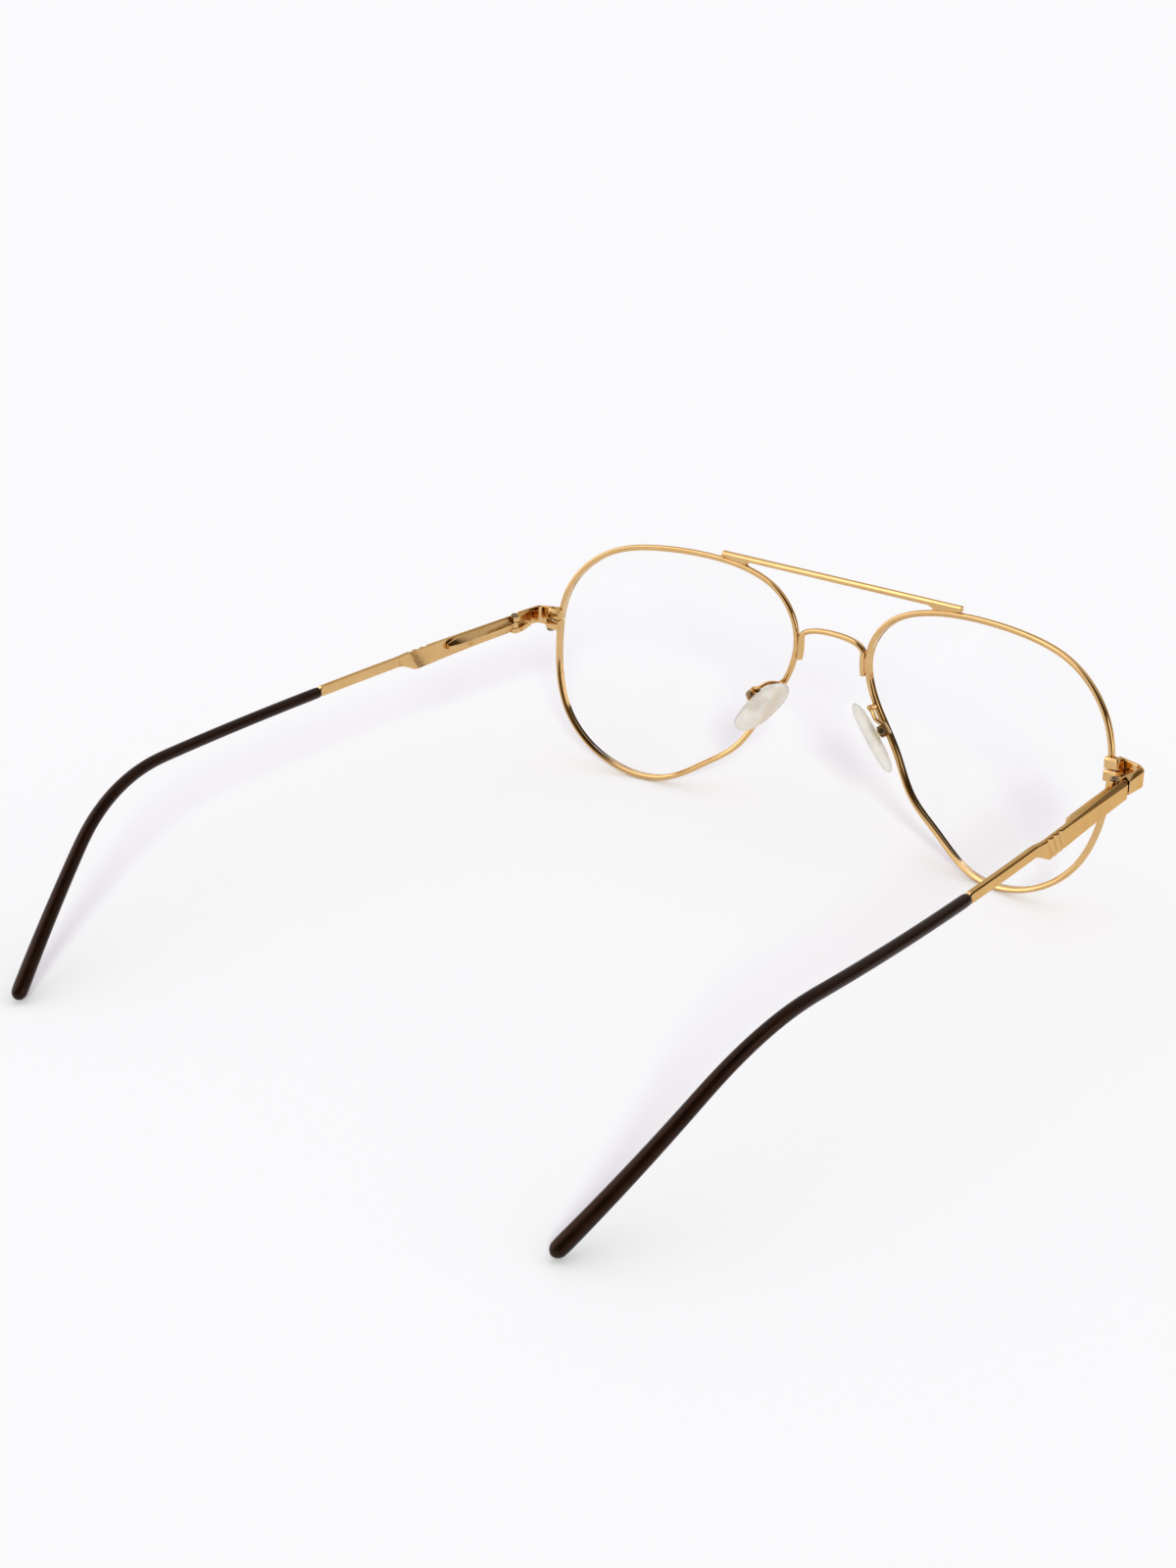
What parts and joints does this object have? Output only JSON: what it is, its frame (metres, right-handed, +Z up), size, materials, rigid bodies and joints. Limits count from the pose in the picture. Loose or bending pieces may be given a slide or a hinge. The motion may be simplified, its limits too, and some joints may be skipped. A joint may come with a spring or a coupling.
{
  "type": "eyeglasses",
  "caption": "Thin-wire aviator eyeglasses with teardrop lenses, a brow bar, rocking nose pads, and spring-hinged temples that end in dark plastic tips",
  "frame": {"origin": "on the table under the middle of the open glasses: midway between the two sides, and midway between the foremost point of the brow bar and the rearmost point of the tips", "axes": "+X towards the wearer's left, +Y back along the temples, +Z up; the front faces -Y and the glasses stand on the rims' lowest points and the two tips"},
  "size_m": [0.1492, 0.1588, 0.0513],
  "materials": {
    "gold_metal": "polished gold plating",
    "screw_steel": "turned steel",
    "clear_lens": "clear optical plastic",
    "dark_tip": "glossy, very dark brown",
    "pad_silicone": "milky translucent silicone",
    "pad_insert": "cream moulded plastic"
  },
  "bodies": {
    "front": {"bridge": "gold_metal", "brow_bar": "gold_metal", "rim_left": "gold_metal", "rim_right": "gold_metal", "lens_left": "clear_lens", "lens_right": "clear_lens", "rim_lock_upper_left": "gold_metal", "rim_lock_upper_right": "gold_metal", "rim_lock_lower_left": "gold_metal", "rim_lock_lower_right": "gold_metal", "rim_lock_screw_left": "screw_steel", "rim_lock_screw_right": "screw_steel", "end_piece_left": "gold_metal", "end_piece_right": "gold_metal", "hinge_leaf_left": "gold_metal", "hinge_leaf_right": "gold_metal", "hinge_screw_left": "screw_steel", "hinge_screw_right": "screw_steel", "pad_arm_left": "gold_metal", "pad_arm_right": "gold_metal", "pad_screw_left": "screw_steel", "pad_screw_right": "screw_steel"},
    "slider_left": {"hinge_slider_left": "gold_metal", "hinge_spring_left": "screw_steel"},
    "slider_right": {"hinge_slider_right": "gold_metal", "hinge_spring_right": "screw_steel"},
    "temple_left": {"temple_plate_left": "gold_metal", "temple_tip_left": "dark_tip", "spring_box_left": "gold_metal", "retaining_bush_left": "screw_steel", "bush_pin_left": "screw_steel"},
    "temple_right": {"temple_plate_right": "gold_metal", "temple_tip_right": "dark_tip", "spring_box_right": "gold_metal", "retaining_bush_right": "screw_steel", "bush_pin_right": "screw_steel"},
    "pad_left": {"nose_pad_left": "pad_silicone", "pad_insert_left": "pad_insert"},
    "pad_right": {"nose_pad_right": "pad_silicone", "pad_insert_right": "pad_insert"}
  },
  "joints": [
    {"name": "temple_fold_left", "type": "hinge", "parent": "front", "child": "slider_left", "pos_m": [0.0702, -0.06166, 0.03048], "axis": [0, 0, 1], "range_deg": [-10, 88]},
    {"name": "temple_fold_right", "type": "hinge", "parent": "front", "child": "slider_right", "pos_m": [-0.0702, -0.06166, 0.03048], "axis": [0, 0, -1], "range_deg": [-10, 80]},
    {"name": "temple_spring_left", "type": "slide", "parent": "slider_left", "child": "temple_left", "axis": [0.0488, 0.9984, -0.0271], "range_m": [0, 0.001], "stiffness_N_per_m": 400, "springref_m": -0.001, "deforming": ["hinge_spring_left"]},
    {"name": "temple_spring_right", "type": "slide", "parent": "slider_right", "child": "temple_right", "axis": [-0.0488, 0.9984, -0.0271], "range_m": [0, 0.001], "stiffness_N_per_m": 400, "springref_m": -0.001, "deforming": ["hinge_spring_right"]},
    {"name": "pad_rock_left", "type": "hinge", "parent": "front", "child": "pad_left", "pos_m": [0.01537, -0.07236, 0.02461], "axis": [0.3505, 0.8596, 0.3717], "range_deg": [-5, 5]},
    {"name": "pad_rock_right", "type": "hinge", "parent": "front", "child": "pad_right", "pos_m": [-0.01537, -0.07236, 0.02461], "axis": [-0.3505, 0.8596, 0.3717], "range_deg": [-5, 5]}
  ]
}
